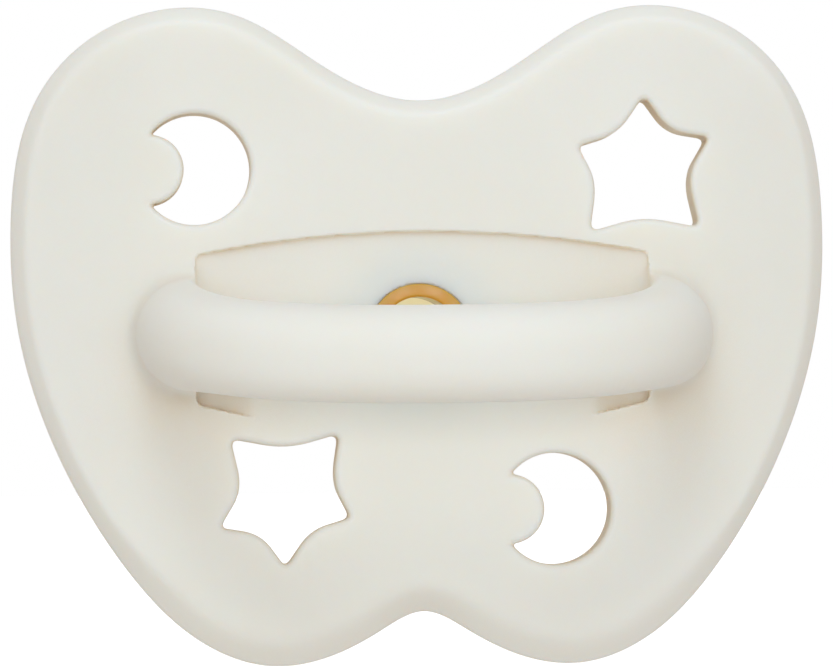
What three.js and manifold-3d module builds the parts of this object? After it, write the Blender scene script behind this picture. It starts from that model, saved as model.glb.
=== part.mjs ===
// A baby's pacifier of soft moulded rubber: a butterfly shield with two star and two moon vents and a loop
// handle, and a hollow nipple whose collar is buttoned into the shield.
// Millimetres. +X is to the right as the handle faces you, +Y points into the mouth, +Z is up. Everything is drawn
// from the point where the nipple's axis meets the shield's mouth-side face, and the last step moves the whole to
// its own origin, the bottom centre of its box.
import * as THREE from "three";
import { mergeVertices } from "three/addons/utils/BufferGeometryUtils.js";
import Module from "manifold-3d";

// ---------- Driving dimensions ----------
const GAP = 0.3; // between two pieces that touch

// Shield
const THICKNESS = 4.5;
const RIM_RADIUS = THICKNESS / 2; // the edge is fully round
const FLAT_HALF_WIDTH = 14; // the middle is flat, and the wings sweep back from here
const WING_RADIUS = 34;
// Half of the outline, from the notch under the nose down to the notch over the chin
const HALF_OUTLINE = [
  [0, 17.8],
  [3.3, 18.4],
  [7.7, 20.7],
  [14, 24.4],
  [20.6, 24.7],
  [26.3, 21.9],
  [29.9, 16.9],
  [31.3, 8.8],
  [30.7, 0],
  [27.4, -9.9],
  [22.1, -18.5],
  [17.4, -23.1],
  [12.2, -25.2],
  [7.6, -24.7],
  [3.4, -22.7],
  [0, -21.2],
];
const OUTLINE_STEPS = 80;
const FACE_RINGS = 5;
const RIM_STEPS = 4;

// Panel between the handle's legs, set a little below the shield's face
const PANEL_DEPTH = 0.3;
const PANEL_HALF_WIDTH = 17.25;
const PANEL_SIDE_TOP = 6;
const PANEL_MIDDLE_TOP = 7.7;

// Vents: each moon is a disc with a smaller disc left standing in it, each star has five soft points
const MOON_RADIUS = 4.25;
const MOON_BITE_RADIUS = 2.65;
const MOON_BITE_OFFSET = 3.45;
const MOONS = [
  { x: -17.1, z: 12.7 },
  { x: 10, z: -13.4 },
];
const STAR_VALLEY_RADIUS = 3.6;
const STARS = [
  { x: 17.2, z: 12.4, tip: 5.75, turn: 92 },
  { x: -10.6, z: -12.7, tip: 5.4, turn: -90 },
];

// Loop handle, flat in the XY plane, and the round seats in the shield that its two roots turn in
const HANDLE_HALF_WIDTH = 19.5; // to the middle of a leg
const HANDLE_FRONT = -26;
const ROOT_AXIS_Y = -10;
const ROOT_RADIUS = 4.65;
const LEG_THICKNESS = 4.4;
const BOW_THICKNESS = 5.4;
const BOW_HEIGHT = 7.2;
const LOOP_SQUARENESS = 2.5; // 2 would be an ellipse
const LOOP_STEPS = 28;
const LOOP_SIDES = 18;
const DROOP = THREE.MathUtils.degToRad(8); // the loop hangs a little below square
const STUB_HALF_HEIGHT = 5.5;
const SEAT_WRAP = THREE.MathUtils.degToRad(60); // how far the seat reaches round, each way from its deepest line

// Nipple
const NECK_RADIUS = 3.9;
const BORE_RADIUS = 2.95;
const BEAD_RADIUS = 6;
const GROOVE = [-3.2, -1.3]; // the shield's groove for the bead, along Y
const FLANGE_RADIUS = 6.6;
const FLANGE_RIM_Y = 1.2;
const BALL_Y = 5.5; // the middle of the neck's bend
const BALL_RADIUS = 4.7;
const SEAT_ANGLE = THREE.MathUtils.degToRad(50);
const BULB_RADIUS = 8;
const NIPPLE_TIP = 26;
const NIPPLE_WALL = 1.5;
const ROUND_STEPS = 36;

const wasm = await Module();
wasm.setup();

// ---------- Helpers ----------
// Rounded away from 32-bit noise, so that points that should be one point are.
const onGrid = (value) => Math.round(value * 1e4) / 1e4;

function toSolid(geometry) {
  const bare = geometry.clone();
  for (const name of ["normal", "uv"]) bare.deleteAttribute(name);
  const merged = mergeVertices(bare, 1e-4);
  const mesh = new wasm.Mesh({
    numProp: 3,
    vertProperties: new Float32Array(merged.attributes.position.array),
    triVerts: new Uint32Array(merged.index.array),
  });
  return new wasm.Manifold(mesh);
}

function toGeometry(solid) {
  const { numProp, vertProperties, triVerts } = solid.getMesh();
  const points = [];
  for (let i = 0; i < vertProperties.length; i += numProp) points.push(...vertProperties.subarray(i, i + 3));
  const geometry = new THREE.BufferGeometry();
  geometry.setAttribute("position", new THREE.Float32BufferAttribute(points, 3));
  geometry.setIndex(new THREE.Uint32BufferAttribute(triVerts, 1));
  geometry.computeVertexNormals();
  return geometry;
}

// A closed skin over rings of the same number of points, with a fan on each end.
function skinOver(rings) {
  const count = rings[0].length;
  const points = rings.flat();
  const faces = [];
  for (let r = 0; r + 1 < rings.length; r++)
    for (let i = 0; i < count; i++) {
      const a = r * count + i;
      const b = r * count + ((i + 1) % count);
      faces.push(a, b, b + count, a, b + count, a + count);
    }
  for (const [ring, start, turned] of [
    [rings[0], 0, true],
    [rings.at(-1), points.length - count, false],
  ]) {
    const middle = ring.reduce((sum, p) => sum.clone().add(p), new THREE.Vector3()).divideScalar(count);
    points.push(middle);
    for (let i = 0; i < count; i++) {
      const [a, b] = [start + i, start + ((i + 1) % count)];
      faces.push(...(turned ? [points.length - 1, b, a] : [points.length - 1, a, b]));
    }
  }
  const geometry = new THREE.BufferGeometry();
  const positions = points.flatMap((p) => [onGrid(p.x), onGrid(p.y), onGrid(p.z)]);
  geometry.setAttribute("position", new THREE.Float32BufferAttribute(positions, 3));
  geometry.setIndex(faces);
  return geometry;
}

// An outline in the XZ plane, cut through from y1 back to y0.
function prism(shape, y0, y1) {
  const geometry = new THREE.ExtrudeGeometry(shape, { depth: y1 - y0, bevelEnabled: false, curveSegments: 10 });
  return toSolid(geometry.rotateX(Math.PI / 2).translate(0, y1, 0));
}

function turned(profile, steps = ROUND_STEPS) {
  return toSolid(new THREE.LatheGeometry(profile.map(([radius, y]) => new THREE.Vector2(radius, y)), steps));
}

function cylinderAlongX(radius, length, x, y) {
  const geometry = new THREE.CylinderGeometry(radius, radius, length, ROUND_STEPS);
  return toSolid(geometry.rotateZ(Math.PI / 2).translate(x, y, 0));
}

// ---------- Shield ----------
function shieldOutline() {
  const right = HALF_OUTLINE.map(([x, z]) => new THREE.Vector3(x, 0, z));
  const left = HALF_OUTLINE.slice(1, -1).reverse().map(([x, z]) => new THREE.Vector3(-x, 0, z));
  const curve = new THREE.CatmullRomCurve3([...right, ...left], true, "centripetal");
  return curve.getSpacedPoints(OUTLINE_STEPS).slice(0, -1);
}

// How far the wings have swept back at x.
const sweep = (x) => Math.max(Math.abs(x) - FLAT_HALF_WIDTH, 0) ** 2 / (2 * WING_RADIUS);

function shieldBlank() {
  const outline = shieldOutline();
  // The outline moved inwards, square to itself. It runs clockwise, so its inner side is on its right.
  const inset = (distance) =>
    outline.map((p, i) => {
      const before = outline.at(i - 1);
      const after = outline[(i + 1) % outline.length];
      const along = after.clone().sub(before).normalize();
      return new THREE.Vector3(p.x + along.z * distance, 0, p.z - along.x * distance);
    });
  const ring = (points, y) => points.map((p) => new THREE.Vector3(p.x, y + sweep(p.x), p.z));
  const face = inset(RIM_RADIUS);
  const faceRing = (share) => face.map((p) => p.clone().multiplyScalar(share));
  const shares = Array.from({ length: FACE_RINGS }, (_, i) => (i + 1) / (FACE_RINGS + 1));
  const rings = shares.map((share) => ring(faceRing(share), -THICKNESS));
  for (let i = 0; i <= 2 * RIM_STEPS; i++) {
    const angle = (Math.PI * i) / (2 * RIM_STEPS);
    rings.push(ring(inset(RIM_RADIUS * (1 - Math.sin(angle))), -RIM_RADIUS * (1 + Math.cos(angle))));
  }
  rings.push(...shares.reverse().map((share) => ring(faceRing(share), 0)));
  return toSolid(skinOver(rings));
}

function star({ x, z, tip, turn }) {
  const corner = (k) => {
    const angle = THREE.MathUtils.degToRad(turn + 36 * k);
    const radius = k % 2 ? STAR_VALLEY_RADIUS : tip;
    return new THREE.Vector2(x + radius * Math.cos(angle), z + radius * Math.sin(angle));
  };
  const shape = new THREE.Shape();
  for (let k = 0; k < 10; k++) {
    const [before, here, after] = [corner(k - 1), corner(k), corner(k + 1)];
    const round = k % 2 ? 0.35 : 0.1; // the share of each side that a corner's curve takes
    const enter = here.clone().lerp(before, round);
    const leave = here.clone().lerp(after, round);
    if (k === 0) shape.moveTo(enter.x, enter.y);
    else shape.lineTo(enter.x, enter.y);
    shape.quadraticCurveTo(here.x, here.y, leave.x, leave.y);
  }
  shape.closePath();
  return shape;
}

function disc(x, z, radius) {
  return new THREE.Shape().absarc(x, z, radius, 0, 2 * Math.PI);
}

function panelOutline() {
  const shape = new THREE.Shape();
  shape.moveTo(-PANEL_HALF_WIDTH, -PANEL_SIDE_TOP);
  shape.quadraticCurveTo(0, PANEL_SIDE_TOP - 2 * PANEL_MIDDLE_TOP, PANEL_HALF_WIDTH, -PANEL_SIDE_TOP);
  shape.lineTo(PANEL_HALF_WIDTH, PANEL_SIDE_TOP);
  shape.quadraticCurveTo(0, 2 * PANEL_MIDDLE_TOP - PANEL_SIDE_TOP, -PANEL_HALF_WIDTH, PANEL_SIDE_TOP);
  shape.closePath();
  return shape;
}

// The stub on the shield that one root of the handle turns in, before its seat is cut.
function rootStub(side) {
  const lip = ROOT_AXIS_Y + (ROOT_RADIUS + GAP) * Math.cos(SEAT_WRAP);
  const foot = -THICKNESS / 2;
  const outline = new THREE.Shape();
  outline.moveTo(foot, -STUB_HALF_HEIGHT - 1);
  outline.lineTo(foot, STUB_HALF_HEIGHT + 1);
  outline.quadraticCurveTo(-THICKNESS, STUB_HALF_HEIGHT, lip, STUB_HALF_HEIGHT - 0.4);
  outline.lineTo(lip, -STUB_HALF_HEIGHT + 0.4);
  outline.quadraticCurveTo(-THICKNESS, -STUB_HALF_HEIGHT, foot, -STUB_HALF_HEIGHT - 1);
  const geometry = new THREE.ExtrudeGeometry(outline, { depth: LEG_THICKNESS, bevelEnabled: false, curveSegments: 6 });
  // The outline's x runs along Y, its y along Z, and the extrusion along X
  const toRow = new THREE.Matrix4().set(0, 0, 1, 0, 1, 0, 0, 0, 0, 1, 0, 0, 0, 0, 0, 1);
  geometry.applyMatrix4(toRow).translate(side * HANDLE_HALF_WIDTH - LEG_THICKNESS / 2, 0, 0);
  return toSolid(geometry);
}

function makeShield() {
  const far = 40;
  let solid = shieldBlank();
  for (const side of [-1, 1]) {
    const seat = cylinderAlongX(ROOT_RADIUS + GAP, LEG_THICKNESS + 2, side * HANDLE_HALF_WIDTH, ROOT_AXIS_Y);
    solid = solid.add(rootStub(side)).subtract(seat);
  }
  solid = solid.subtract(prism(panelOutline(), -THICKNESS - 1, -THICKNESS + PANEL_DEPTH));
  for (const vent of STARS) solid = solid.subtract(prism(star(vent), -far, far));
  for (const { x, z } of MOONS) {
    const bite = prism(disc(x - MOON_BITE_OFFSET, z, MOON_BITE_RADIUS), -far, far);
    solid = solid.subtract(prism(disc(x, z, MOON_RADIUS), -far, far).subtract(bite));
  }
  const bore = turned([
    [0, -far],
    [NECK_RADIUS + GAP, -far],
    [NECK_RADIUS + GAP, GROOVE[0]],
    [BEAD_RADIUS + GAP, GROOVE[0]],
    [BEAD_RADIUS + GAP, GROOVE[1]],
    [NECK_RADIUS + GAP, GROOVE[1]],
    [NECK_RADIUS + GAP, far],
    [0, far],
  ]);
  return solid.subtract(bore);
}

// ---------- Loop handle ----------
function makeHandle() {
  const reach = ROOT_AXIS_Y - HANDLE_FRONT - BOW_THICKNESS / 2; // from the roots' axis to the bow's middle line
  const power = 2 / LOOP_SQUARENESS;
  const onCurve = (angle) => {
    const [c, s] = [Math.cos(angle), Math.sin(angle)];
    const x = HANDLE_HALF_WIDTH * Math.sign(c) * Math.abs(c) ** power;
    return new THREE.Vector3(x, -reach * Math.abs(s) ** power, 0);
  };
  const rings = [];
  for (let i = 0; i <= LOOP_STEPS; i++) {
    const angle = Math.PI * (1 - i / LOOP_STEPS);
    const end = i === 0 || i === LOOP_STEPS;
    const middle = onCurve(angle);
    const ahead = onCurve(Math.max(angle - 0.01, 0));
    const behind = onCurve(Math.min(angle + 0.01, Math.PI));
    // A leg meets its root square to the hinge's axis
    const along = end ? new THREE.Vector3(0, i ? 1 : -1, 0) : ahead.sub(behind).normalize();
    const across = new THREE.Vector3(-along.y, along.x, 0);
    const share = THREE.MathUtils.smoothstep(Math.sin(angle), 0, 1);
    const halfAcross = THREE.MathUtils.lerp(LEG_THICKNESS, BOW_THICKNESS, share) / 2;
    const halfHeight = THREE.MathUtils.lerp(ROOT_RADIUS, BOW_HEIGHT / 2, share);
    const ring = [];
    for (let k = 0; k < LOOP_SIDES; k++) {
      const turn = (2 * Math.PI * k) / LOOP_SIDES;
      const point = middle.clone().addScaledVector(across, halfAcross * Math.cos(turn));
      point.z = halfHeight * Math.sin(turn);
      ring.push(point);
    }
    rings.push(ring);
  }
  let solid = toSolid(skinOver(rings).rotateX(DROOP).translate(0, ROOT_AXIS_Y, 0));
  for (const side of [-1, 1])
    solid = solid.add(cylinderAlongX(ROOT_RADIUS, LEG_THICKNESS, side * HANDLE_HALF_WIDTH, ROOT_AXIS_Y));
  return solid;
}

// ---------- Nipple ----------
// Points of an arc about the axis point (0, y), from one angle to another, measured from -Y.
function arc(y, radius, from, to, steps) {
  return Array.from({ length: steps + 1 }, (_, i) => {
    const angle = THREE.MathUtils.lerp(from, to, i / steps);
    return [radius * Math.sin(angle), y - radius * Math.cos(angle)];
  });
}

// The angle at which a ball of that radius is as wide as the bore through it.
const mouthAngle = (radius) => Math.asin(BORE_RADIUS / radius);

function makeCollar() {
  const seat = BALL_RADIUS + GAP;
  const face = -THICKNESS + PANEL_DEPTH;
  return turned([
    [BORE_RADIUS, face],
    [NECK_RADIUS, face],
    [NECK_RADIUS, GROOVE[0] + GAP],
    [BEAD_RADIUS, GROOVE[0] + GAP],
    [BEAD_RADIUS, GROOVE[1] - GAP],
    [NECK_RADIUS, GROOVE[1] - GAP],
    [NECK_RADIUS, GAP],
    [FLANGE_RADIUS, GAP],
    [FLANGE_RADIUS, FLANGE_RIM_Y],
    [FLANGE_RADIUS - 1.2, FLANGE_RIM_Y + 1],
    ...arc(BALL_Y, seat, SEAT_ANGLE, mouthAngle(seat), 4),
    [BORE_RADIUS, face],
  ]);
}

function makeTeat() {
  const bulbY = NIPPLE_TIP - BULB_RADIUS;
  const shoulder = 0.24 * Math.PI; // where the bulb's round begins
  const ball = arc(BALL_Y, BALL_RADIUS, mouthAngle(BALL_RADIUS), Math.PI / 2, 5);
  const outside = arc(bulbY, BULB_RADIUS, shoulder, Math.PI, 12);
  const inside = arc(bulbY, BULB_RADIUS - NIPPLE_WALL, shoulder, Math.PI, 10);
  return turned([
    ...ball,
    [BALL_RADIUS - 0.2, BALL_Y + 2.5],
    [BALL_RADIUS + 0.2, BALL_Y + 4.2],
    ...outside,
    ...inside.reverse(),
    [BORE_RADIUS + 0.4, BALL_Y + 4.2],
    [BORE_RADIUS, BALL_Y + 2.5],
    ball[0],
  ]);
}

// ---------- Assembly ----------
const milkyRubber = new THREE.MeshStandardMaterial({ color: 0xe6e3da, roughness: 0.55, metalness: 0 });
const amberRubber = new THREE.MeshStandardMaterial({ color: 0xc08a3a, roughness: 0.4, metalness: 0 });

const pacifier = new THREE.Group();
for (const [name, solid, material] of [
  ["shield", makeShield(), milkyRubber],
  ["loop_handle", makeHandle(), milkyRubber],
  ["nipple_collar", makeCollar(), amberRubber],
  ["nipple_teat", makeTeat(), amberRubber],
]) {
  const mesh = new THREE.Mesh(toGeometry(solid), material);
  mesh.name = name;
  pacifier.add(mesh);
}
const box = new THREE.Box3().setFromObject(pacifier);
const middle = box.getCenter(new THREE.Vector3());
pacifier.position.set(0, -middle.y, -box.min.z);

export default pacifier;
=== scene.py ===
"""Looks of a baby's rubber pacifier: one milk-white moulding, which is the butterfly shield and its loop
handle, and one hollow amber nipple. Shapes are worked out in millimetres from the point where the nipple's
axis meets the shield's mouth-side face, and moved into the frame in metres."""
import math

import bpy
import numpy as np
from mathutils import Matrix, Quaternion, Vector


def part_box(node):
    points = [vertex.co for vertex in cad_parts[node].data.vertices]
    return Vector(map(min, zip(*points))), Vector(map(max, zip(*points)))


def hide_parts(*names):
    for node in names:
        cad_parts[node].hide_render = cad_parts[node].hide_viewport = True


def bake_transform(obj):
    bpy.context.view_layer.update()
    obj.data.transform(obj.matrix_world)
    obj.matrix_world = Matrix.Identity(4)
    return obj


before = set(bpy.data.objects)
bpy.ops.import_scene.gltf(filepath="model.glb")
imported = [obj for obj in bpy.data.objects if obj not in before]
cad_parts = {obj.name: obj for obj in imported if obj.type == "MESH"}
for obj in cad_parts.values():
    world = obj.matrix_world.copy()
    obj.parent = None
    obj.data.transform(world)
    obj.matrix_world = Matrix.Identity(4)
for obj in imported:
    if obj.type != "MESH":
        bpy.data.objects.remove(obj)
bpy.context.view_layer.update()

MM = 0.001

# ---------- Sizes, in millimetres, as in the CAD parts ----------
# X runs across the shield, Y from the handle's front towards the mouth, and Z from the chin up to the nose.
THICKNESS = 4.5
# The rim's bevel above the chin, and at the chin: how far it reaches over the face, how far down the side,
# and how softly it meets the face. It meets the side with the first softness everywhere.
RIM_WIDTH = (1.15, 1.85)
RIM_DEPTH = (1.45, 1.8)
RIM_SOFTNESS = (0.5, 1.1)
CHIN = (-12, -22)  # the rim changes between these heights
FLAT_HALF_WIDTH = 14  # beyond it the wings sweep back
WING_RADIUS = 34
# Half of the shield's outline, from the notch under the nose down to the notch over the chin
HALF_OUTLINE = [
    (0, 17.8), (3.3, 18.4), (7.7, 20.7), (14, 24.4), (20.6, 24.7), (26.3, 21.9), (29.9, 16.9), (31.3, 8.8),
    (30.7, 0), (27.4, -9.9), (22.1, -18.5), (17.4, -23.1), (12.2, -25.2), (7.6, -24.7), (3.4, -22.7),
    (0, -21.2),
]

MOON_RADIUS = 4.25
MOON_BITE_RADIUS = 2.65
MOON_BITE_OFFSET = 3.45
MOON_TIP = 0.3  # the rounding of the moon's two tips
MOON_CENTRES = [(-17.25, 12.6), (9.95, -13.45)]
# A star's soft points and the valleys between them, as degrees and distance from its centre
STAR_CORNERS = [
    (90, 5.5), (56, 3.45), (25, 5.6), (-10, 3.35), (-47, 6.2), (-93, 3.7), (-131, 6.4), (196, 3.8),
    (161.5, 5.35), (127, 3.3),
]
# How much of a star's side a corner's rounding takes up, at a point and in a valley
STAR_POINT_SHARE, STAR_VALLEY_SHARE = 0.2, 0.42
STARS = [(17.05, 12.45, 0, 1), (-10.55, -12.35, 180, 0.98)]  # X, Z, turn in degrees, scale
VENT_EDGE = 0.45

PANEL_DEPTH = 0.32
PANEL_POCKET = 1.0  # its depth in the two bottom corners
PANEL_TOP = 7.75
PANEL_TOP_AT_SIDE = 6.05
PANEL_BOTTOM = -7.6
PANEL_BOTTOM_AT_SIDE = -5.3
PANEL_CORNER = 0.5
PANEL_FADE = (11.5, 16)  # along the bottom, its edge appears between these half widths
PANEL_FLOOR_CHANGE = (2, -4)  # between these heights its depth changes from the top's to the bottom's

LEG_MIDDLE = 17.5  # from the nipple's axis to the handle's spine at a leg
LOOP_START_Y = -8.5  # where the legs begin to curve
BOW_SPINE_Y = -22.8
SPINE_END_Y = 6  # the spine starts and ends behind the legs' feet
LOOP_SQUARENESS = 2.5
# The spine drops by the first times the reach to the power of the second, for a reach of up to the third
BOW_DROP, BOW_DROP_POWER, BOW_DROP_REACH = 1.95, 1.5, 1.2
LEG_HALF_HEIGHT = 4.3
BOW_HALF_HEIGHT = 3.53
BOW_HEIGHT_REACH = 0.8  # the share of the reach at which the section has the bow's height
LEG_SQUARENESS, BOW_SQUARENESS = 2, 2.4  # of the section: 2 is an ellipse, and more is squarer
LEG_OUTER, BOW_OUTER = 4.3, 3.2  # from the spine to the outer side
INNER_CURVE = 3.2  # the section's inner half, before the flat inner side is cut
LEG_INNER, BOW_INNER = 0.25, 2.1  # from the spine to the flat inner side
ROOT_FILLET = 2.2
FOOT_FILLET = 4.5  # inside the loop, where a leg meets the panel
FOOT_FADE = (2, 5.5)  # that fillet fades out between these distances above and below the middle
NO_FILLET = 0.01  # too small to see, as a fillet's width can't be zero
LEG_FOOT_Y = -2.0  # the legs end inside the shield
# The edges round the loop's flat inner side, on the shield and on the handle, and where they change along Y
LOOP_EDGE = (0.12, 0.9)
LOOP_EDGE_CHANGE = (-4.6, -7.1)

CUT_FROM_Y = -9  # vents and hole pass through the shield, not the handle in front of it
HOLE_RADIUS = 3.9
HOLE_EDGE = 0.1
NIPPLE_SHIFT = (-0.25, -0.2)  # the nipple sits a little off the shield's middle, along X and Z
GROOVE_RADIUS = 6.15
GROOVE = (-3.1, -1.4)

NIPPLE_TIP = 26
BULB_RADIUS = 8
NIPPLE_WALL = 1.5
BULB_MIDDLE = NIPPLE_TIP - BULB_RADIUS
BULB_SHOULDER = 56  # degrees from the bulb's neck side to where the neck meets it
MOUTH_RADIUS = 2.95
BORE_RADIUS = 3.2
PLUG_RADIUS = 3.82  # in the shield's hole
LIP_RADIUS = 3.94
BEAD_RADIUS = 6.0
FLANGE_RADIUS = 6.55
NECK_RADIUS = 4.3
LIP_Y = -4.3
BEAD = (-2.9, -1.6)
FLANGE = (0.03, 1.0)
NECK_Y = 7.0  # where the neck begins to widen into the bulb

# ---------- The mesh ----------
MOULDING_BOX = (-31.8, -26.6, -25.9), (31.8, 5.2, 25.6)
NET_STEP, QUICK_NET_STEP = 0.2, 0.4
MOST_TRIANGLES = 170000
NIPPLE_SIDES = 120
FAR_OFF = 9.0  # farther than any distance that matters
TINY = 1e-6
SMOOTH_LIMIT = math.radians(22)  # faces that lean more than this from the surface are shaded flat

# ---------- Looks ----------
MILKY_COLOURS = (0.86, 0.83, 0.71), (0.88, 0.855, 0.75)
# Painted shade: this warmer, darker colour is mixed into the white rubber in creases and under overhangs,
# where light from above is blocked
PAINTED_SHADE_COLOUR = (0.76, 0.64, 0.46)
PAINTED_SHADE_REACH = 0.012  # how far the painted shade looks for things that block light, in metres
PAINTED_SHADE_OPENNESS = (0.35, 0.88)  # all of that colour up to the first, and none of it from the second
PAINTED_SHADE_LEAN_UP = 0.7  # how far above a surface's own direction its openness to light is looked for, for the painted shade
SOLID_AMBER_COLOURS = (0.66, 0.305, 0.018), (0.73, 0.355, 0.028)
THIN_AMBER_COLOURS = (0.86, 0.75, 0.42), (0.89, 0.80, 0.5)
THIN_FROM = (-2, 4)  # the nipple's rubber changes from solid to a thin wall between these places along Y
NOISE_ENDS = (0.3, 0.7)  # most of a noise's values lie between these

# ---------- Studio, in metres ----------
# The walls are bright and cool in front of the object and a little above it, and dimmer and warmer behind it
BRIGHT_SIDE = Vector((0, -0.99, 0.1)).normalized()
BRIGHT_WALL = (0.575, 0.62, 0.71)
DIM_WALL = (0.635, 0.567, 0.498)
FLOOR_HALF_WIDTH = 3.0
# Each lamp's name, width, power, colour, and place from the object's middle
LAMPS = [
    ("softbox", 0.4, 2.9, (0.86, 0.99, 1.18), (-0.1, -0.8, 0.95)),
    ("front_light", 0.24, 2.5, (0.96, 0.98, 1.06), (0, -1.05, 0.04)),
]
CAMERA_AZIMUTH, CAMERA_ELEVATION, CAMERA_ROLL = math.radians(-3.0), math.radians(-1.3), math.radians(0.55)
CAMERA_DISTANCE = 0.45
CAMERA_TARGET = (-0.47, -4.0, 0.0)  # local millimetres
SENSOR_WIDTH = 36
IMAGE_WIDTH = 833
IMAGE_SCALE = 13.15  # how many of those show one millimetre at the target

# The frame says where the nipple's axis and the shield's mouth-side face are
collar_low, collar_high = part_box("nipple_collar")
teat_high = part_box("nipple_teat")[1]
ORIGIN = Vector((0, teat_high[1] - NIPPLE_TIP * MM, (collar_low[2] + collar_high[2]) / 2))


def place(x, y, z):
    """A point in the frame, in metres, from local millimetres."""
    return ORIGIN + Vector((x, y, z)) * MM


# ---------- Distance fields ----------
# Each takes arrays of places in millimetres, and is negative inside the solid.
def round_cut(solid, tool, radius):
    """solid with tool cut away, and the edge between them rounded."""
    inside = np.minimum(np.maximum(solid, -tool), -radius)
    return inside + np.hypot(np.maximum(solid + radius, 0), np.maximum(radius - tool, 0))


def soft_join(a, b, width):
    """a and b joined, with a fillet between them that starts and ends softly."""
    near = np.maximum(width - np.abs(a - b), 0) / width
    return np.minimum(a, b) - near**3 * width / 6


def soft_overlap(a, b, width):
    """Where a and b overlap, with the edge between them rounded."""
    return -soft_join(-a, -b, width)


def blend_between(a, b, share):
    """From a to b as share goes from 0 to 1, with soft ends."""
    t = np.clip(share, 0, 1)
    return a + (b - a) * t * t * (3 - 2 * t)


def share_between(ends, value):
    """0 where value is at the first end, and 1 where it is at the second."""
    return (value - ends[0]) / (ends[1] - ends[0])


def nearest_on(path, u, v, closed):
    """The distance from each place to a path, and the side of the path that it lies on."""
    starts = path if closed else path[:-1]
    ends = np.roll(path, -1, axis=0) if closed else path[1:]
    best = np.full(u.shape, np.inf)
    side = np.ones(u.shape)
    for a, b in zip(starts, ends):
        along = b - a
        du, dv = u - a[0], v - a[1]
        share = np.clip((du * along[0] + dv * along[1]) / (along @ along), 0, 1)
        gap = np.hypot(du - share * along[0], dv - share * along[1])
        closer = gap < best
        best[closer] = gap[closer]
        side[closer] = np.sign(along[0] * dv - along[1] * du)[closer]
    return best, side


class FlatField:
    """A distance in a plane, worked out once on a grid and read back between its places."""

    def __init__(self, values, low, step):
        self.values, self.low, self.step = values, low, step

    def __call__(self, u, v):
        rows, columns = self.values.shape
        a = (u - self.low[0]) / self.step
        b = (v - self.low[1]) / self.step
        inner_a, inner_b = np.clip(a, 0, rows - 1.001), np.clip(b, 0, columns - 1.001)
        i, j = inner_a.astype(int), inner_b.astype(int)
        s, t = inner_a - i, inner_b - j
        g = self.values
        first = g[i, j] * (1 - s) + g[i + 1, j] * s
        second = g[i, j + 1] * (1 - s) + g[i + 1, j + 1] * s
        near = first * (1 - t) + second * t
        return near + np.copysign(np.hypot(a - inner_a, b - inner_b) * self.step, near)


def field_of(path, closed, margin, step):
    """The distance from a path, on a grid that reaches past it by margin. It is negative inside a closed
    path, and on one side of an open one."""
    low = path.min(axis=0) - margin
    counts = np.ceil((path.max(axis=0) + margin - low) / step).astype(int) + 1
    u, v = np.meshgrid(*(low[k] + step * np.arange(counts[k]) for k in range(2)), indexing="ij")
    gap, side = nearest_on(path, u, v, closed)
    if closed:
        inside = np.zeros(u.shape, bool)
        for a, b in zip(path, np.roll(path, -1, axis=0)):
            crosses = (a[1] > v) != (b[1] > v)
            if a[1] != b[1]:
                inside ^= crosses & (u < (b[0] - a[0]) * (v - a[1]) / (b[1] - a[1]) + a[0])
        side = np.where(inside, -1, 1)
    return FlatField(gap * side, low, step)


def smooth_closed(points, steps, power=0.75):
    """A closed curve through the points with no kinks: a cubic spline whose bends also meet.

    Each stretch's share of the curve is its length to the given power."""
    points = np.array(points, float)
    count = len(points)
    lengths = np.hypot(*(np.roll(points, -1, axis=0) - points).T) ** power
    rows = np.zeros((count, count))
    right = np.zeros((count, 2))
    for i in range(count):
        before, after = lengths[i - 1], lengths[i]
        rows[i, i - 1] += 1 / before
        rows[i, i] += 2 / before + 2 / after
        rows[i, (i + 1) % count] += 1 / after
        right[i] = 3 * (
            (points[i] - points[i - 1]) / before**2 + (points[(i + 1) % count] - points[i]) / after**2
        )
    slopes = np.linalg.solve(rows, right)
    made = []
    for i in range(count):
        a, b = points[i], points[(i + 1) % count]
        da, db = slopes[i] * lengths[i], slopes[(i + 1) % count] * lengths[i]
        for t in np.arange(steps) / steps:
            made.append(
                (2 * t**3 - 3 * t**2 + 1) * a + (t**3 - 2 * t**2 + t) * da
                + (3 * t**2 - 2 * t**3) * b + (t**3 - t**2) * db
            )
    return np.array(made)


def star_path(cx, cz, turn, scale, steps=9):
    """A star's outline, each of whose corners is a short curve."""
    corners = []
    for angle, radius in STAR_CORNERS:
        a, r = math.radians(angle + turn), radius * scale
        corners.append(np.array([cx + r * math.cos(a), cz + r * math.sin(a)]))
    made = []
    for k, here in enumerate(corners):
        before, after = corners[k - 1], corners[(k + 1) % len(corners)]
        share = STAR_VALLEY_SHARE if k % 2 else STAR_POINT_SHARE
        enter, leave = here + (before - here) * share, here + (after - here) * share
        for t in np.linspace(0, 1, steps):
            made.append((1 - t) ** 2 * enter + 2 * t * (1 - t) * here + t**2 * leave)
    return np.array(made)


def loop_path(steps=90):
    """The handle's spine as places along X and Y, from inside the shield and back to it."""
    reach = LOOP_START_Y - BOW_SPINE_Y
    turns = np.linspace(math.pi, 0, steps)
    power = 2 / LOOP_SQUARENESS
    x = LEG_MIDDLE * np.sign(np.cos(turns)) * np.abs(np.cos(turns)) ** power
    y = LOOP_START_Y - reach * np.sin(turns).clip(0) ** power
    return np.array([(-LEG_MIDDLE, SPINE_END_Y), *zip(x, y), (LEG_MIDDLE, SPINE_END_Y)])


right_half = [np.array(p, float) for p in HALF_OUTLINE]
left_half = [p * (-1, 1) for p in right_half[-2:0:-1]]
shield_edge = field_of(smooth_closed(right_half + left_half, steps=12), closed=True, margin=3, step=0.15)
star_edges = [field_of(star_path(*star), closed=True, margin=2, step=0.06) for star in STARS]
loop_spine = field_of(loop_path(), closed=False, margin=6, step=0.12)


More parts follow.
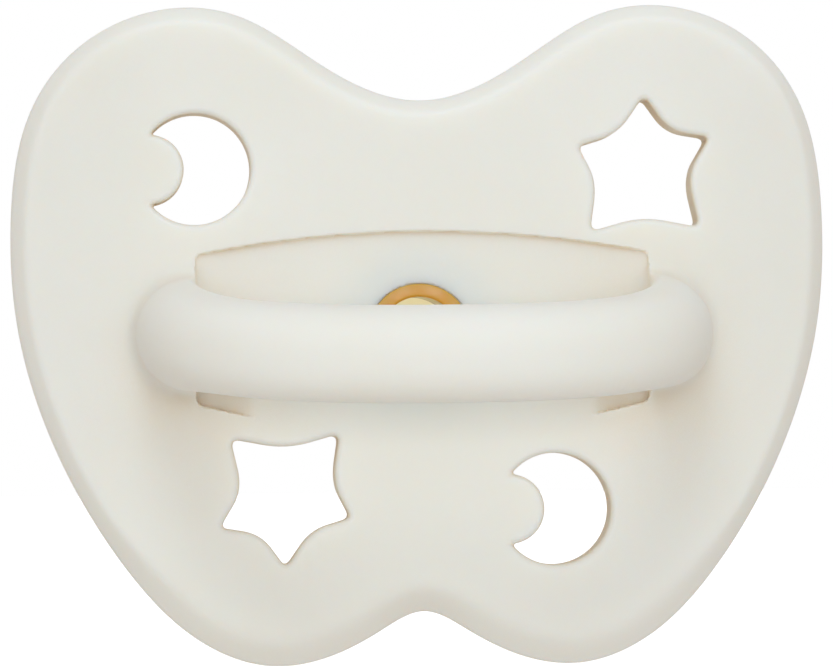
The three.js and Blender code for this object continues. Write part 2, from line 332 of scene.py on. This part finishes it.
def plate(x, y, z):
    """The shield's plate, whose wings sweep back and whose rim is bevelled on both sides."""
    sweep = np.maximum(np.abs(x) - FLAT_HALF_WIDTH, 0) ** 2 / (2 * WING_RADIUS)
    outwards = shield_edge(x, z)
    above = np.abs(y - sweep + THICKNESS / 2) - THICKNESS / 2
    at_chin = share_between(CHIN, z)
    width = blend_between(*RIM_WIDTH, at_chin)
    depth = blend_between(*RIM_DEPTH, at_chin)
    softness = blend_between(*RIM_SOFTNESS, at_chin)
    bevel = ((outwards + width) * depth + above * width) / np.hypot(width, depth)
    return soft_overlap(soft_overlap(outwards, bevel, RIM_SOFTNESS[0]), above, softness)


def reach_of(y):
    """How far out a place is on the handle: 0 at the shield's face, and 1 at the bow's spine."""
    return share_between((-THICKNESS, BOW_SPINE_Y), y)


def from_spine(x, y):
    """How far outside the handle's spine a place is, in the spine's plane; negative inside the loop."""
    return -loop_spine(x, y)


def handle(x, y, z):
    """The loop handle before its inner side is cut flat."""
    reach = reach_of(y)
    outwards = from_spine(x, y)
    up = z + BOW_DROP * np.clip(reach, 0, BOW_DROP_REACH) ** BOW_DROP_POWER
    half_height = blend_between(LEG_HALF_HEIGHT, BOW_HALF_HEIGHT, reach / BOW_HEIGHT_REACH)
    outer = blend_between(LEG_OUTER, BOW_OUTER, reach)
    squareness = blend_between(LEG_SQUARENESS, BOW_SQUARENESS, reach)
    depth = np.where(outwards > 0, outer, INNER_CURVE)
    across, along = np.abs(outwards) / depth, np.abs(up) / half_height
    size = (across**squareness + along**squareness) ** (1 / squareness) + TINY
    steepness = np.hypot(across ** (squareness - 1) / depth, along ** (squareness - 1) / half_height)
    return np.maximum((size - 1) * size ** (squareness - 1) / (steepness + TINY), y - LEG_FOOT_Y)


def core(x, y, z):
    """The mould's core, which leaves the finger gap and the panel on the shield below it."""
    inner = from_spine(x, y) + blend_between(LEG_INNER, BOW_INNER, reach_of(y))
    span = (x / (LEG_MIDDLE - LEG_INNER)) ** 2
    top = PANEL_TOP + (PANEL_TOP_AT_SIDE - PANEL_TOP) * span
    bottom = PANEL_BOTTOM + (PANEL_BOTTOM_AT_SIDE - PANEL_BOTTOM) * span
    bottom_depth = blend_between(-PANEL_DEPTH, PANEL_POCKET, share_between(PANEL_FADE, np.abs(x)))
    depth = blend_between(PANEL_DEPTH, bottom_depth, share_between(PANEL_FLOOR_CHANGE, z))
    floor = y + THICKNESS - depth
    upright = np.maximum(z - top, bottom - z)
    outline = np.minimum(np.maximum(inner, upright), -PANEL_CORNER) + np.hypot(
        np.maximum(inner + PANEL_CORNER, 0), np.maximum(upright + PANEL_CORNER, 0)
    )
    fillet = blend_between(FOOT_FILLET, NO_FILLET, share_between(FOOT_FADE, np.abs(z)))
    return soft_overlap(outline, floor, fillet)


def vents(x, z):
    """The two moons and the two stars."""
    made = np.full(x.shape, FAR_OFF)
    for cx, cz in MOON_CENTRES:
        disc = np.hypot(x - cx, z - cz) - MOON_RADIUS
        bite = np.hypot(x - cx + MOON_BITE_OFFSET, z - cz) - MOON_BITE_RADIUS
        made = np.minimum(made, round_cut(disc, bite, MOON_TIP))
    for edge in star_edges:
        made = np.minimum(made, edge(x, z))
    return made


def moulding(x, y, z):
    """The shield and its handle, as one body of rubber."""
    fillet = blend_between(ROOT_FILLET, NO_FILLET, share_between((-THICKNESS, LEG_FOOT_Y), y))
    body = soft_join(plate(x, y, z), handle(x, y, z), fillet)
    edge = blend_between(*LOOP_EDGE, share_between(LOOP_EDGE_CHANGE, y))
    body = round_cut(body, core(x, y, z), edge)
    in_front = CUT_FROM_Y - y
    body = round_cut(body, np.maximum(vents(x, z), in_front), VENT_EDGE)
    round_hole = np.hypot(x - NIPPLE_SHIFT[0], z - NIPPLE_SHIFT[1])
    body = round_cut(body, np.maximum(round_hole - HOLE_RADIUS, in_front), HOLE_EDGE)
    past_groove = np.abs(y - sum(GROOVE) / 2) - (GROOVE[1] - GROOVE[0]) / 2
    groove = np.maximum(round_hole - GROOVE_RADIUS, past_groove)
    return np.maximum(body, -groove)


# ---------- A mesh from a distance field ----------
def slope_of(field, places, step=0.02):
    """The field's value and gradient at each place."""
    gradient = np.zeros_like(places)
    for sign in [(1, 1, 1), (1, -1, -1), (-1, 1, -1), (-1, -1, 1)]:
        sign = np.array(sign, float)
        gradient += sign * field(*(places + sign * step).T)[:, None]
    return field(*places.T), gradient / (4 * step)


def settle(field, places, rounds=3, least_slope=0.05, longest_move=0.5):
    """Moves each place onto the field's surface, and gives the surface's direction there."""
    for _ in range(rounds):
        value, gradient = slope_of(field, places)
        size = (gradient**2).sum(axis=1).clip(least_slope)
        places = places - np.clip(value / size, -longest_move, longest_move)[:, None] * gradient
    gradient = slope_of(field, places)[1]
    return places, gradient / np.linalg.norm(gradient, axis=1).clip(TINY)[:, None]


def net_over(field, low, high, step, block=8, safety=1.25, blocks_at_once=600):
    """A net of four-sided faces over the field's surface, one vertex in each grid cell that it crosses.

    The field is worked out at the middle of each block of cells, and cell by cell only where a block may hold
    some of the surface."""
    low = np.array(low, float)
    blocks = np.ceil((np.array(high) - low) / (step * block)).astype(int)
    centres = [low[k] + step * block * (np.arange(blocks[k]) + 0.5) - step / 2 for k in range(3)]
    coarse = field(*(g.ravel() for g in np.meshgrid(*centres, indexing="ij"))).reshape(blocks)
    values = coarse
    for axis in range(3):
        values = np.repeat(values, block, axis)
    values = np.ascontiguousarray(values, np.float32)
    near = np.argwhere(np.abs(coarse) < safety * step * (block * math.sqrt(3) / 2 + 1))
    inner = np.stack(np.meshgrid(*[np.arange(block)] * 3, indexing="ij"), -1).reshape(-1, 3)
    for part in np.array_split(near, max(1, len(near) // blocks_at_once)):
        nodes = (part[:, None] * block + inner).reshape(-1, 3)
        values[tuple(nodes.T)] = field(*(low + nodes * step).T)
    inside = values < 0
    corners = [np.array(c) for c in np.ndindex(2, 2, 2)]
    counts = np.array(values.shape) - 1
    filled = np.zeros(counts, np.int8)
    for corner in corners:
        filled += inside[tuple(slice(corner[k], corner[k] + counts[k]) for k in range(3))]
    cells = np.argwhere((filled > 0) & (filled < len(corners)))
    number = np.full(counts, -1, np.int32)
    number[tuple(cells.T)] = np.arange(len(cells))
    total, weight = np.zeros((len(cells), 3)), np.zeros((len(cells), 1))
    for axis in range(3):
        for start in [c for c in corners if c[axis] == 0]:
            stop = start.copy()
            stop[axis] = 1
            a, b = values[tuple((cells + start).T)], values[tuple((cells + stop).T)]
            crossed = (a < 0) != (b < 0)
            share = np.where(crossed, a / np.where(a == b, 1, a - b), 0)
            total += crossed[:, None] * (start + share[:, None] * (stop - start))
            weight += crossed[:, None]
    places = low + step * (cells + total / weight)
    faces = []
    around = [(1, 1), (0, 1), (0, 0), (1, 0)]
    for axis in range(3):
        u, v = np.eye(3, dtype=int)[(axis + 1) % 3], np.eye(3, dtype=int)[(axis + 2) % 3]
        shift = np.eye(3, dtype=int)[axis]
        size = np.array(values.shape) - shift
        first = inside[tuple(slice(0, n) for n in size)]
        second = inside[tuple(slice(shift[k], shift[k] + size[k]) for k in range(3))]
        edges = np.argwhere(first != second)
        leaving = first[tuple(edges.T)]
        ring = np.stack([number[tuple((edges - a * u - b * v).T)] for a, b in around], 1)
        faces.append(np.where(leaving[:, None], ring, ring[:, ::-1]))
    return places, np.concatenate(faces)


def even_out(field, places, faces, rounds, pull=0.6):
    """Slides the vertices along the surface until their spacing is even."""
    pairs = np.concatenate([faces[:, [a, (a + 1) % 4]] for a in range(4)])
    pairs = np.concatenate([pairs, pairs[:, ::-1]])
    share = np.bincount(pairs[:, 0], minlength=len(places))[:, None]
    for _ in range(rounds):
        middle = np.stack(
            [np.bincount(pairs[:, 0], places[pairs[:, 1], k], minlength=len(places)) for k in range(3)], 1
        ) / share
        places, direction = settle(field, places, rounds=1)
        move = middle - places
        move -= (move * direction).sum(axis=1)[:, None] * direction
        places = places + pull * move
    return settle(field, places)[0]


def make_piece(name, places, faces):
    """A smooth object in the scene, from places in local millimetres."""
    mesh = bpy.data.meshes.new(name)
    mesh.from_pydata([place(*p) for p in places], [], faces)
    mesh.polygons.foreach_set("use_smooth", np.ones(len(mesh.polygons), bool))
    piece = bpy.data.objects.new(name, mesh)
    bpy.context.scene.collection.objects.link(piece)
    return piece


def make_moulding():
    """The shield and its handle: a fine net, thinned out and settled onto the surface again."""
    places, faces = net_over(moulding, *MOULDING_BOX, NET_STEP)
    places = even_out(moulding, places, faces, rounds=3)
    piece = make_piece("shield_and_handle", places, faces.tolist())
    thin = piece.modifiers.new("thin", "DECIMATE")
    thin.ratio = min(1, MOST_TRIANGLES / (2 * len(faces)))
    bpy.context.view_layer.objects.active = piece
    bpy.ops.object.select_all(action="DESELECT")
    piece.select_set(True)
    bpy.ops.object.modifier_apply(modifier=thin.name)
    mesh = piece.data
    coordinates = np.zeros(3 * len(mesh.vertices), np.float32)
    mesh.vertices.foreach_get("co", coordinates)
    local = (coordinates.reshape(-1, 3).astype(float) - np.array(ORIGIN)) / MM
    local, direction = settle(moulding, local, rounds=2)
    mesh.vertices.foreach_set("co", (local * MM + np.array(ORIGIN)).astype(np.float32).ravel())
    mesh.polygons.foreach_set("use_smooth", np.ones(len(mesh.polygons), bool))
    mesh.update()
    shade_by(mesh, direction)
    return piece


def shade_by(mesh, direction):
    """Shades the mesh by the surface's directions, and as flat where a face leans too far from them."""
    corner_count, face_count = len(mesh.loops), len(mesh.polygons)
    vertex_of = np.zeros(corner_count, np.int32)
    mesh.loops.foreach_get("vertex_index", vertex_of)
    normals = np.zeros(3 * face_count, np.float32)
    mesh.polygons.foreach_get("normal", normals)
    sizes = np.zeros(face_count, np.int32)
    mesh.polygons.foreach_get("loop_total", sizes)
    flat = np.repeat(normals.reshape(-1, 3), sizes, axis=0)
    smooth = direction[vertex_of]
    leans = (flat * smooth).sum(axis=1) < math.cos(SMOOTH_LIMIT)
    mesh.normals_split_custom_set(np.where(leans[:, None], flat, smooth).tolist())


# ---------- Nipple ----------
def bend(a, b, c, steps):
    """A curve that leaves a towards b and reaches c from b."""
    a, b, c = np.array(a, float), np.array(b, float), np.array(c, float)
    return [(1 - t) ** 2 * a + 2 * t * (1 - t) * b + t**2 * c for t in np.linspace(0, 1, steps + 1)]


def rounded(points):
    """Straight lines between the points, each corner rounded by its own radius: (r, y, radius)."""
    made = []
    for k, (r, y, radius) in enumerate(points):
        here = np.array([r, y], float)
        if radius == 0 or k in (0, len(points) - 1):
            made.append(here)
            continue
        before, after = np.array(points[k - 1][:2], float), np.array(points[k + 1][:2], float)
        enter = here + (before - here) / np.linalg.norm(before - here) * radius
        leave = here + (after - here) / np.linalg.norm(after - here) * radius
        made += bend(enter, here, leave, 5)
    return made


def bulb_arc(radius, start, steps):
    """From the shoulder of the bulb round to its tip."""
    turns = np.radians(np.linspace(start, 180, steps))
    return [np.array([radius * math.sin(t), BULB_MIDDLE - radius * math.cos(t)]) for t in turns]


def nipple_profile():
    """The hollow nipple's section: from its bore out round the mouth, along the outside to the bulb's tip,
    and back inside it to the bore."""
    outside = bulb_arc(BULB_RADIUS, BULB_SHOULDER, 40)
    inside = bulb_arc(BULB_RADIUS - NIPPLE_WALL, BULB_SHOULDER, 36)
    profile = rounded([
        (BORE_RADIUS, -2.6, 0), (BORE_RADIUS, -3.5, 0.3), (MOUTH_RADIUS, -3.8, 0.15),
        (MOUTH_RADIUS, LIP_Y, 0.2), (LIP_RADIUS, LIP_Y, 0.07), (LIP_RADIUS, LIP_Y + 0.1, 0.03),
        (PLUG_RADIUS, LIP_Y + 0.2, 0.06), (PLUG_RADIUS, BEAD[0], 0.2), (BEAD_RADIUS, BEAD[0], 0.4),
        (BEAD_RADIUS, BEAD[1], 0.4), (PLUG_RADIUS, BEAD[1], 0.2), (PLUG_RADIUS, FLANGE[0], 0.1),
        (FLANGE_RADIUS, FLANGE[0], 0.35), (FLANGE_RADIUS, FLANGE[1], 0.5), (NECK_RADIUS + 1, 1.35, 0.6),
        (NECK_RADIUS + 0.05, 2.5, 0.9), (NECK_RADIUS, NECK_Y, 0),
    ])
    profile += bend((NECK_RADIUS, NECK_Y), (NECK_RADIUS, 10.2), outside[0], 14)[1:]
    profile += outside[1:] + inside[::-1]
    profile += bend(inside[0], (BORE_RADIUS, 10.6), (BORE_RADIUS, NECK_Y), 12)[1:]
    profile += [np.array([BORE_RADIUS, y]) for y in (4.5, 2.0, -0.5)]
    return profile


def make_nipple():
    """The profile turned round the nipple's axis."""
    count = NIPPLE_SIDES
    right, up = NIPPLE_SHIFT
    places, rings = [], []
    for r, y in nipple_profile():
        if r < TINY:
            places.append((right, y, up))
            rings.append([len(places) - 1] * count)
            continue
        rings.append(list(range(len(places), len(places) + count)))
        turns = 2 * math.pi * np.arange(count) / count
        places += [(right + r * math.sin(a), y, up + r * math.cos(a)) for a in turns]
    faces = []
    for ring, after in zip(rings, rings[1:] + rings[:1]):
        for i in range(count):
            j = (i + 1) % count
            corners = [ring[i], ring[j], after[j], after[i]]
            face = [c for k, c in enumerate(corners) if c != corners[k - 1]]
            if len(face) > 2:
                faces.append(face)
    return make_piece("nipple", places, faces)


# ---------- Materials ----------
def new_material(name):
    """A material, its nodes and links, and its shader."""
    material = bpy.data.materials.new(name)
    material.use_nodes = True
    nodes, links = material.node_tree.nodes, material.node_tree.links
    return material, nodes, links, nodes["Principled BSDF"]


def set_inputs(node, values):
    """Sets a node's inputs, each by its name."""
    for name, value in values.items():
        node.inputs[name].default_value = value


def noise(nodes, links, where, scale, detail):
    """Noise whose features are about 1 / scale metres across."""
    made = nodes.new("ShaderNodeTexNoise")
    set_inputs(made, {"Scale": scale, "Detail": detail})
    links.new(where, made.inputs["Vector"])
    return made.outputs["Fac"]


def spread(nodes, links, value, ends, low=0, high=1):
    """From low to high as value goes from the first of ends to the second."""
    made = nodes.new("ShaderNodeMapRange")
    set_inputs(made, {"From Min": ends[0], "From Max": ends[1], "To Min": low, "To Max": high})
    links.new(value, made.inputs["Value"])
    return made.outputs["Result"]


def mix(nodes, links, share, first, second):
    """From first to second as share goes from 0 to 1; each is a colour, or an output that gives one."""
    made = nodes.new("ShaderNodeMix")
    made.data_type = "RGBA"
    for name, colour in [("A", first), ("B", second)]:
        if isinstance(colour, tuple):
            made.inputs[name].default_value = (*colour, 1)
        else:
            links.new(colour, made.inputs[name])
    links.new(share, made.inputs["Factor"])
    return made.outputs["Result"]


def bumps(nodes, links, layers):
    """Bump from several heights: (height, distance in metres)."""
    normal = None
    for height, distance in layers:
        made = nodes.new("ShaderNodeBump")
        set_inputs(made, {"Strength": 1, "Distance": distance})
        links.new(height, made.inputs["Height"])
        if normal is not None:
            links.new(normal, made.inputs["Normal"])
        normal = made.outputs["Normal"]
    return normal


def painted_shade_openness(nodes, links):
    """How open a surface is to light that comes mostly from above, which sets where shade is painted into the
    colour: less in creases and under overhangs.
    """
    leaned = nodes.new("ShaderNodeVectorMath")
    leaned.inputs[1].default_value = (0, 0, PAINTED_SHADE_LEAN_UP)
    links.new(nodes.new("ShaderNodeNewGeometry").outputs["Normal"], leaned.inputs[0])
    upwards = nodes.new("ShaderNodeVectorMath")
    upwards.operation = "NORMALIZE"
    links.new(leaned.outputs["Vector"], upwards.inputs[0])
    made = nodes.new("ShaderNodeAmbientOcclusion")
    made.samples = 6
    made.inputs["Distance"].default_value = PAINTED_SHADE_REACH
    links.new(upwards.outputs["Vector"], made.inputs["Normal"])
    return spread(nodes, links, made.outputs["AO"], PAINTED_SHADE_OPENNESS)


def milky_rubber():
    """Milk-white rubber, which looks a little warmer where light has gone through more of it, with painted
    shade: warmer and darker in creases and under overhangs.
    """
    material, nodes, links, shader = new_material("milky_rubber")
    where = nodes.new("ShaderNodeTexCoord").outputs["Object"]
    clouds = noise(nodes, links, where, scale=55, detail=3)
    grain = noise(nodes, links, where, scale=1500, detail=4)
    waves = noise(nodes, links, where, scale=260, detail=2)
    open_colour = mix(nodes, links, spread(nodes, links, clouds, NOISE_ENDS), *MILKY_COLOURS)
    # Painted shade: the warmer, darker colour is mixed in where light from above is blocked
    colour = mix(nodes, links, painted_shade_openness(nodes, links), PAINTED_SHADE_COLOUR, open_colour)
    links.new(colour, shader.inputs["Base Color"])
    links.new(spread(nodes, links, grain, NOISE_ENDS, 0.5, 0.62), shader.inputs["Roughness"])
    links.new(bumps(nodes, links, [(waves, 0.00004), (grain, 0.000012)]), shader.inputs["Normal"])
    set_inputs(shader, {
        "IOR": 1.5, "Specular IOR Level": 0.35,
        "Subsurface Weight": 1, "Subsurface Radius": (1.0, 0.85, 0.7), "Subsurface Scale": 0.0019,
    })
    return material


def amber_rubber():
    """Clear latex, deep amber where it is solid and paler towards the bulb, where it is a thin wall."""
    material, nodes, links, shader = new_material("amber_rubber")
    where = nodes.new("ShaderNodeTexCoord").outputs["Object"]
    clouds = spread(nodes, links, noise(nodes, links, where, scale=90, detail=3), NOISE_ENDS)
    grain = noise(nodes, links, where, scale=900, detail=3)
    along = nodes.new("ShaderNodeSeparateXYZ")
    links.new(where, along.inputs["Vector"])
    thinness = spread(nodes, links, along.outputs["Y"], [place(0, y, 0)[1] for y in THIN_FROM])
    thinness.node.interpolation_type = "SMOOTHSTEP"
    solid, thin = (mix(nodes, links, clouds, *pair) for pair in (SOLID_AMBER_COLOURS, THIN_AMBER_COLOURS))
    links.new(mix(nodes, links, thinness, solid, thin), shader.inputs["Base Color"])
    links.new(spread(nodes, links, grain, NOISE_ENDS, 0.28, 0.42), shader.inputs["Roughness"])
    links.new(bumps(nodes, links, [(grain, 0.000015)]), shader.inputs["Normal"])
    links.new(spread(nodes, links, thinness, (0, 1), 0.1, 0.85), shader.inputs["Transmission Weight"])
    set_inputs(shader, {
        "IOR": 1.52, "Specular IOR Level": 0.3,
        "Subsurface Weight": 0.6, "Subsurface Radius": (1.0, 0.5, 0.15), "Subsurface Scale": 0.0015,
    })
    return material


def studio_white():
    """The floor's plain white, which glows a little so that it looks the same everywhere."""
    material, _, _, shader = new_material("studio_white")
    set_inputs(shader, {
        "Base Color": (0.9, 0.9, 0.9, 1), "Roughness": 0.9,
        "Emission Color": (1, 1, 1, 1), "Emission Strength": 0.75,
    })
    return material


# ---------- Studio ----------
def add_lamp(name, size, power, colour, offset):
    """A square lamp that points at the object's middle, from offset metres away from it."""
    middle = place(0, 0, 0)
    light = bpy.data.lights.new(name, "AREA")
    light.shape = "SQUARE"
    light.size = size
    light.energy = power
    light.color = colour
    lamp = bpy.data.objects.new(name, light)
    bpy.context.scene.collection.objects.link(lamp)
    lamp.location = middle + Vector(offset)
    lamp.rotation_mode = "QUATERNION"
    lamp.rotation_quaternion = (-Vector(offset)).to_track_quat("-Z", "Y")


def make_world():
    """Plain white where it is looked at, and soft light that is brightest from BRIGHT_SIDE."""
    world = bpy.data.worlds.new("studio")
    world.use_nodes = True
    bpy.context.scene.world = world
    nodes, links = world.node_tree.nodes, world.node_tree.links
    facing = nodes.new("ShaderNodeVectorMath")
    facing.operation = "DOT_PRODUCT"
    facing.inputs[1].default_value = BRIGHT_SIDE
    links.new(nodes.new("ShaderNodeTexCoord").outputs["Generated"], facing.inputs[0])
    share = spread(nodes, links, facing.outputs["Value"], (-1, 1))
    light = mix(nodes, links, share, DIM_WALL, BRIGHT_WALL)
    path = nodes.new("ShaderNodeLightPath")
    seen = nodes.new("ShaderNodeMath")
    seen.operation = "MAXIMUM"
    links.new(path.outputs["Is Camera Ray"], seen.inputs[0])
    links.new(path.outputs["Is Transmission Ray"], seen.inputs[1])
    shown = mix(nodes, links, seen.outputs["Value"], light, (1, 1, 1))
    links.new(shown, nodes["Background"].inputs["Color"])


def make_studio():
    """A white floor that takes no part in the lighting, the walls' light and the lamps."""
    half = FLOOR_HALF_WIDTH
    corners = [(-half, -half, 0), (half, -half, 0), (half, half, 0), (-half, half, 0)]
    mesh = bpy.data.meshes.new("floor")
    mesh.from_pydata(corners, [], [(0, 1, 2, 3)])
    floor = bpy.data.objects.new("floor", mesh)
    floor.data.materials.append(studio_white())
    floor.visible_diffuse = False
    floor.visible_glossy = False
    floor.visible_shadow = False
    bpy.context.scene.collection.objects.link(floor)
    make_world()
    for lamp in LAMPS:
        add_lamp(*lamp)


def make_camera():
    """A camera that looks at the target from the given azimuth and elevation, with its horizon rolled."""
    target = place(*CAMERA_TARGET)
    level = math.cos(CAMERA_ELEVATION)
    right, front = math.sin(CAMERA_AZIMUTH) * level, math.cos(CAMERA_AZIMUTH) * level
    back = Vector((right, -front, math.sin(CAMERA_ELEVATION)))
    wide = IMAGE_WIDTH / IMAGE_SCALE * MM
    data = bpy.data.cameras.new("camera")
    data.sensor_width = SENSOR_WIDTH
    data.lens = SENSOR_WIDTH * CAMERA_DISTANCE / wide
    data.clip_start, data.clip_end = 0.01, 20
    camera = bpy.data.objects.new("camera", data)
    bpy.context.scene.collection.objects.link(camera)
    camera.location = target + back * CAMERA_DISTANCE
    camera.rotation_mode = "QUATERNION"
    camera.rotation_quaternion = (-back).to_track_quat("-Z", "Y") @ Quaternion((0, 0, 1), -CAMERA_ROLL)
    bpy.context.scene.camera = camera


# ---------- The pieces ----------
make_camera()
make_studio()
bpy.context.scene.view_settings.view_transform = "Standard"

skin = make_moulding()
skin.data.materials.append(milky_rubber())
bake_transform(skin)
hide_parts("shield", "loop_handle")

nipple = make_nipple()
nipple.data.materials.append(amber_rubber())
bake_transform(nipple)
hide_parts("nipple_collar", "nipple_teat")
